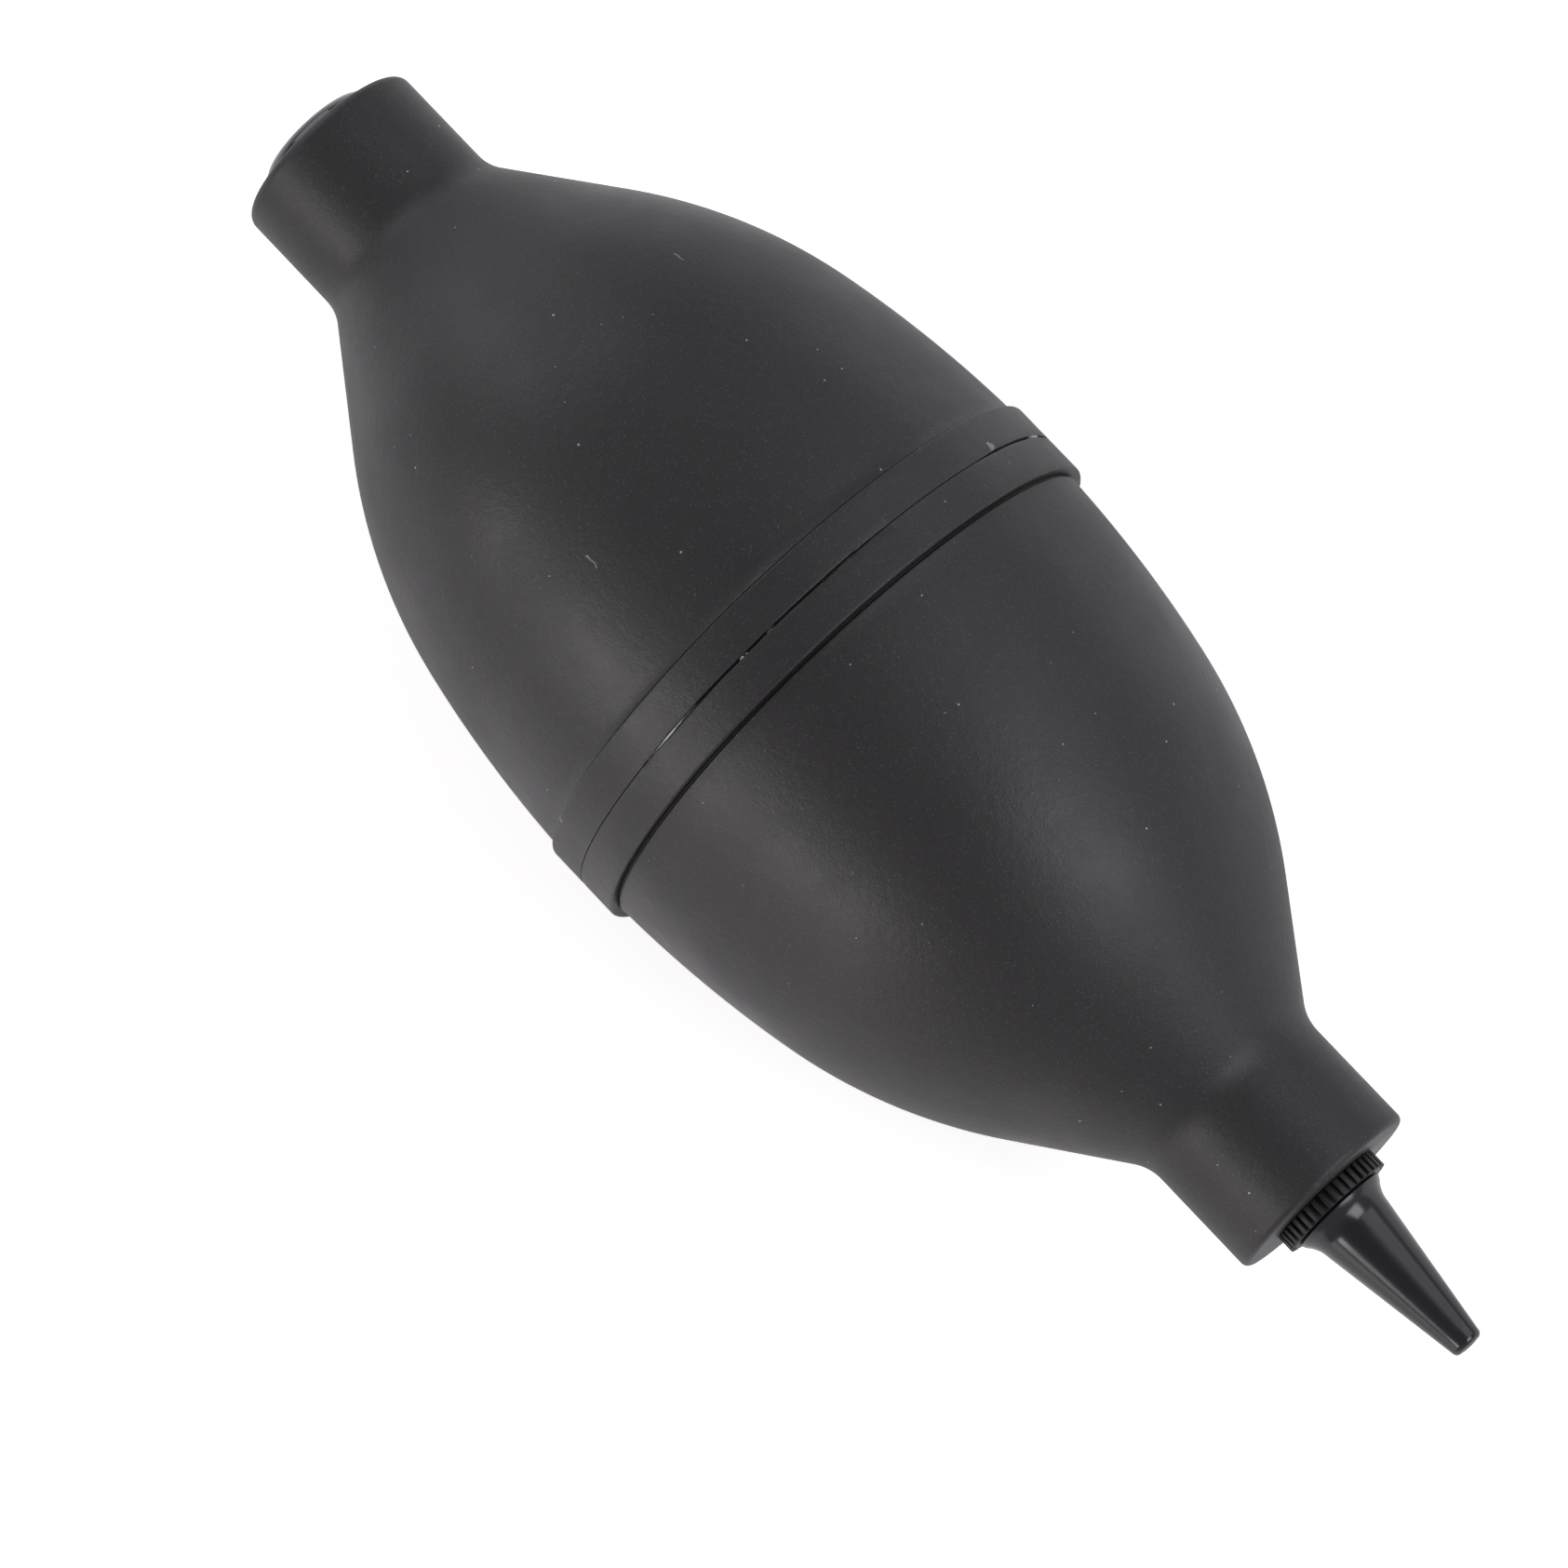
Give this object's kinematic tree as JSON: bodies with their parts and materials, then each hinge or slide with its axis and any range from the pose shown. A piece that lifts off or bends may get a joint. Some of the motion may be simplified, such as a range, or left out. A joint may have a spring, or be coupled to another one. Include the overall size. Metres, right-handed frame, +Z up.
{
  "type": "dust blower bulb",
  "caption": "Squeeze bulb with a raised waist band, a one-way air inlet in its rear neck and a tapered screw-in nozzle, for blowing dust off small work.",
  "frame": {"origin": "under the middle of the blower's length, at the bottom of the waist band that it rests on", "axes": "+X along the bulb's axis towards the nozzle, +Y towards the wall that the fingers squeeze, +Z up"},
  "size_m": [0.1438, 0.0542, 0.0543],
  "materials": {
    "silicone": "matte, very fine grain",
    "joint_silicone": "glossy bead of joint adhesive",
    "insert_plastic": "satin",
    "clear_silicone": "satin, milky",
    "foam": "open-cell",
    "gloss_black": "polished",
    "seal_rubber": "satin",
    "dull_black": "dull, knurled",
    "nozzle_plastic": "semi-gloss"
  },
  "bodies": {
    "bulb": {"rear_bulb_half": "silicone", "front_bulb_half": "silicone", "waist_ring": "joint_silicone", "valve_housing": "insert_plastic", "inlet_filter": "foam", "inlet_cap": "gloss_black", "front_bush": "insert_plastic", "nozzle_seal": "seal_rubber"},
    "finger_wall": {"rear_finger_wall": "silicone", "front_finger_wall": "silicone"},
    "inlet_valve": {"inlet_valve": "clear_silicone"},
    "nozzle": {"nozzle": "nozzle_plastic"},
    "collar": {"nozzle_collar": "dull_black"}
  },
  "joints": [
    {"name": "squeeze", "type": "slide", "parent": "bulb", "child": "finger_wall", "axis": [0, -1, 0], "range_m": [0, 0.02], "stiffness_N_per_m": 1000, "deforming": ["waist_ring"]},
    {"name": "inlet_valve_lift", "type": "slide", "parent": "bulb", "child": "inlet_valve", "axis": [1, 0, 0], "range_m": [0, 0.001], "stiffness_N_per_m": 50},
    {"name": "nozzle_travel", "type": "slide", "parent": "bulb", "child": "nozzle", "axis": [1, 0, 0], "range_m": [0, 0.0045]},
    {"name": "collar_turn", "type": "hinge", "parent": "nozzle", "child": "collar", "pos_m": [0.0553, 0, 0.02713], "axis": [1, 0, 0], "range_deg": [0, 1080]}
  ],
  "couplings": [
    {"joint": "collar_turn", "follows": "nozzle_travel", "rad_per_m": 4188.8}
  ]
}
